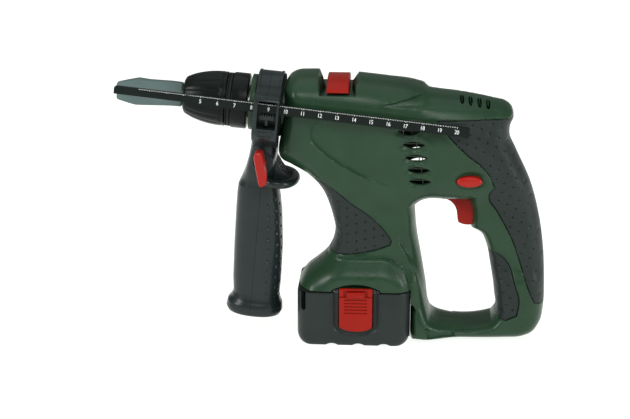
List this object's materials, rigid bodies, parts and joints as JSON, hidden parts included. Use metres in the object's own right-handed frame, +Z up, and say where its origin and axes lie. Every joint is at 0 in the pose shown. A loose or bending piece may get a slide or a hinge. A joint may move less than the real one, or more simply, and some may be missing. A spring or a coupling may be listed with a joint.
{
  "type": "toy power drill",
  "caption": "Toy cordless power drill with D-handle, slide-off battery, spinning chuck and bit, swivelling side handle and sliding depth rule.",
  "frame": {"origin": "centre of the battery's flat base, on the plane between the two housing halves", "axes": "-X points forward to the bit and +X to the D-handle, -Y is the drill's left side with the depth rule and knob, +Z is up"},
  "size_m": [0.2607, 0.0611, 0.1665],
  "materials": {
    "green_plastic": "semi-gloss moulded dark green",
    "soft_grip": "matt dark grey overmoulding with small dimples",
    "black_plastic": "semi-gloss moulded black",
    "red_plastic": "semi-gloss moulded red",
    "grey_plastic": "satin grey-green plastic",
    "white_nylon": "satin off-white nylon",
    "steel": "plain steel",
    "brass": "plain brass",
    "copper_winding": "lacquered copper wire",
    "circuit_board": "green solder mask",
    "cell_wrap": "plain dark blue film"
  },
  "bodies": {
    "body": {"housing_left": "green_plastic", "housing_right": "green_plastic", "rear_grip_left": "soft_grip", "rear_grip_right": "soft_grip", "inner_grip_left": "soft_grip", "inner_grip_right": "soft_grip", "front_grip_left": "soft_grip", "front_grip_right": "soft_grip", "front_neck": "green_plastic", "front_bearing": "brass", "rear_bearing": "brass", "gearbox_case": "grey_plastic", "motor_plate": "grey_plastic", "idler_axle": "steel", "motor_can": "steel", "motor_end_cap": "white_nylon", "motor_magnet_left": "grey_plastic", "motor_magnet_right": "grey_plastic", "trigger_switch": "black_plastic", "circuit_board": "circuit_board", "speaker": "black_plastic", "housing_contact_left": "brass", "housing_contact_right": "brass", "housing_screw_1": "steel", "housing_screw_2": "steel", "housing_screw_3": "steel", "housing_screw_4": "steel", "housing_screw_5": "steel", "trigger_spring": "steel"},
    "spindle": {"spindle": "steel", "output_gear": "white_nylon", "chuck_core": "black_plastic", "chuck_ring": "black_plastic", "chuck_sleeve": "black_plastic"},
    "idler": {"idler_gear": "white_nylon"},
    "rotor": {"motor_shaft": "steel", "motor_armature": "copper_winding", "motor_pinion": "brass"},
    "bit": {"blade_bit": "grey_plastic"},
    "trigger": {"trigger": "red_plastic"},
    "direction_button": {"direction_button": "red_plastic"},
    "mode_switch": {"mode_switch": "red_plastic"},
    "battery": {"battery_case": "black_plastic", "battery_lid": "black_plastic", "battery_cell_1": "cell_wrap", "battery_cell_2": "cell_wrap", "battery_cell_3": "cell_wrap", "battery_cell_4": "cell_wrap", "battery_terminal_left": "brass", "battery_terminal_right": "brass", "latch_spring_left": "steel", "latch_spring_right": "steel"},
    "latch_left": {"battery_latch_left": "red_plastic"},
    "latch_right": {"battery_latch_right": "red_plastic"},
    "side_handle": {"handle_front": "black_plastic", "handle_rear": "black_plastic", "clamp_nut": "steel"},
    "knob": {"wing_knob": "red_plastic"},
    "rule": {"depth_rule": "black_plastic"},
    "pawl": {"rule_pawl": "black_plastic"}
  },
  "joints": [
    {"name": "chuck_spin", "type": "hinge", "parent": "body", "child": "spindle", "pos_m": [0, 0, 0.1405], "axis": [-0.9956, 0, 0.0941], "continuous": true},
    {"name": "idler_spin", "type": "hinge", "parent": "body", "child": "idler", "pos_m": [-0.00094, 0, 0.13054], "axis": [-0.9956, 0, 0.0941], "continuous": true},
    {"name": "motor_spin", "type": "hinge", "parent": "body", "child": "rotor", "pos_m": [0, 0, 0.1405], "axis": [-0.9956, 0, 0.0941], "continuous": true},
    {"name": "bit_slide", "type": "slide", "parent": "spindle", "child": "bit", "axis": [-0.9956, 0, 0.0941], "range_m": [0, 0.03]},
    {"name": "trigger_slide", "type": "slide", "parent": "body", "child": "trigger", "axis": [1, 0, 0], "range_m": [0, 0.0045], "stiffness_N_per_m": 700, "springref_m": -0.003, "deforming": ["trigger_spring"]},
    {"name": "direction_slide", "type": "slide", "parent": "body", "child": "direction_button", "axis": [0, 1, 0], "range_m": [-0.0025, 0.0025]},
    {"name": "mode_slide", "type": "slide", "parent": "body", "child": "mode_switch", "axis": [1, 0, 0], "range_m": [-0.001, 0.001]},
    {"name": "battery_slide", "type": "slide", "parent": "body", "child": "battery", "axis": [0, 0, -1], "range_m": [0, 0.05]},
    {"name": "latch_left_press", "type": "hinge", "parent": "battery", "child": "latch_left", "pos_m": [0.00085, -0.0254, 0.013], "axis": [-1, 0, 0], "range_deg": [0, 5], "stiffness_Nm_per_rad": 0.6, "springref_deg": -2.86, "deforming": ["latch_spring_left"]},
    {"name": "latch_right_press", "type": "hinge", "parent": "battery", "child": "latch_right", "pos_m": [0.00085, 0.0254, 0.013], "axis": [1, 0, 0], "range_deg": [0, 5], "stiffness_Nm_per_rad": 0.6, "springref_deg": -2.86, "deforming": ["latch_spring_right"]},
    {"name": "handle_swivel", "type": "hinge", "parent": "body", "child": "side_handle", "pos_m": [0, 0, 0.1405], "axis": [-0.9956, 0, 0.0941], "range_deg": [-15, 90]},
    {"name": "knob_turn", "type": "hinge", "parent": "side_handle", "child": "knob", "pos_m": [-0.05581, 0, 0.11333], "axis": [0, 1, 0], "range_deg": [-180, 180]},
    {"name": "rule_slide", "type": "slide", "parent": "side_handle", "child": "rule", "axis": [0.9942, 0, -0.108], "range_m": [-0.06, 0.06]},
    {"name": "pawl_slide", "type": "slide", "parent": "side_handle", "child": "pawl", "axis": [-0.0941, 0, -0.9956], "range_m": [0, 0.001], "stiffness_N_per_m": 300, "springref_m": -0.001}
  ],
  "couplings": [
    {"joint": "idler_spin", "follows": "chuck_spin", "ratio": -2.125},
    {"joint": "motor_spin", "follows": "chuck_spin", "ratio": 5.4643}
  ]
}
